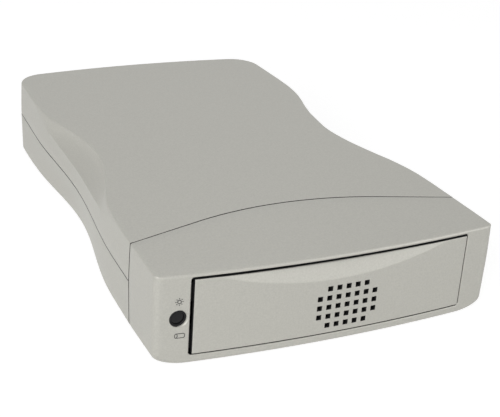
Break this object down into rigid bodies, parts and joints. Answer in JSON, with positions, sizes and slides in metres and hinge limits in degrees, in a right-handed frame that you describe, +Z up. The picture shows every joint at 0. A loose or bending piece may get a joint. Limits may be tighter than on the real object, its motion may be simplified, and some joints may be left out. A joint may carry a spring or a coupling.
{
  "type": "hard drive enclosure",
  "caption": "Free-standing case for an external hard drive, with wave-shaped sides, a bowed bezel, a removable vented front plate, and a rear panel with sockets, power switch and fan.",
  "frame": {"origin": "on the table, under the middle of the case", "axes": "+Y from the front bezel to the rear panel, +Z up, +X to the right as seen from the front"},
  "size_m": [0.182, 0.2897, 0.048],
  "materials": {
    "silver_paint": "satin silver-grey paint on moulded plastic",
    "black_plastic": "fine moulded",
    "dark_lens": "polished",
    "led_resin": "clear resin",
    "black_rubber": "matte",
    "black_steel": "blackened",
    "screw_steel": "zinc plated",
    "sheet_steel": "galvanised sheet",
    "cast_alloy": "as cast",
    "drive_lid_steel": "brushed",
    "disc_coating": "mirror polished",
    "arm_alloy": "machined",
    "magnet_steel": "nickel plated",
    "board_green": "solder mask",
    "board_tan": "bare laminate",
    "chip_resin": "moulded resin",
    "port_steel": "bright tinned sheet",
    "white_plastic": "moulded",
    "winding_tape": "polyester tape",
    "sleeve_film": "shrink sleeve",
    "sink_alloy": "rolled",
    "insulator_sheet": "pressed fibre",
    "panel_steel": "fine textured paint",
    "pin_brass": "tinned brass",
    "rocker_plastic": "satin",
    "fan_plastic": "glass-filled",
    "guard_steel": "bright plated",
    "ribbon_film": "soft film",
    "lead_film": "soft film",
    "mains_film": "soft film"
  },
  "bodies": {
    "case": {"top_cover": "silver_paint", "bottom_shell": "silver_paint", "front_bezel": "silver_paint", "indicator_bush": "black_plastic", "indicator_lens": "dark_lens", "indicator_board": "board_green", "indicator_leds": "led_resin", "rubber_feet": "black_rubber", "case_screws": "black_steel", "drive_cradle": "sheet_steel", "cradle_screws": "screw_steel", "drive_casting": "cast_alloy", "drive_lid": "drive_lid_steel", "drive_lid_screws": "screw_steel", "drive_magnet": "magnet_steel", "drive_board": "board_green", "drive_connector": "black_plastic", "drive_side_screws": "screw_steel", "bridge_board": "board_green", "bridge_parts": "chip_resin", "usb_port": "port_steel", "firewire_port": "port_steel", "port_tongues": "white_plastic", "psu_board": "board_tan", "psu_transformer": "winding_tape", "psu_capacitors": "sleeve_film", "psu_heatsinks": "sink_alloy", "psu_insulator": "insulator_sheet", "board_screws": "screw_steel", "rear_panel": "panel_steel", "mains_inlet": "black_plastic", "inlet_pins": "pin_brass", "switch_body": "black_plastic", "fan_frame": "fan_plastic", "fan_guard": "guard_steel", "fan_screws": "screw_steel", "data_ribbon": "ribbon_film", "power_lead": "lead_film", "mains_leads": "mains_film"},
    "plate": {"front_plate": "silver_paint"},
    "rocker": {"switch_rocker": "rocker_plastic"},
    "rotor": {"fan_rotor": "fan_plastic"},
    "discs": {"drive_discs": "disc_coating"},
    "arm": {"drive_head_arm": "arm_alloy"}
  },
  "joints": [
    {"name": "plate_slide", "type": "slide", "parent": "case", "child": "plate", "axis": [0, -1, 0], "range_m": [0, 0.01]},
    {"name": "rocker_tilt", "type": "hinge", "parent": "case", "child": "rocker", "pos_m": [0.019, 0.1348, 0.0246], "axis": [1, 0, 0], "range_deg": [0, 20]},
    {"name": "rotor_spin", "type": "hinge", "parent": "case", "child": "rotor", "pos_m": [-0.043, 0.1292, 0.0246], "axis": [0, 1, 0], "continuous": true},
    {"name": "discs_spin", "type": "hinge", "parent": "case", "child": "discs", "pos_m": [0, -0.044, 0.0237], "axis": [0, 0, 1], "continuous": true},
    {"name": "arm_swing", "type": "hinge", "parent": "case", "child": "arm", "pos_m": [0.028, 0.015, 0.0237], "axis": [0, 0, 1], "range_deg": [0, 28]}
  ]
}
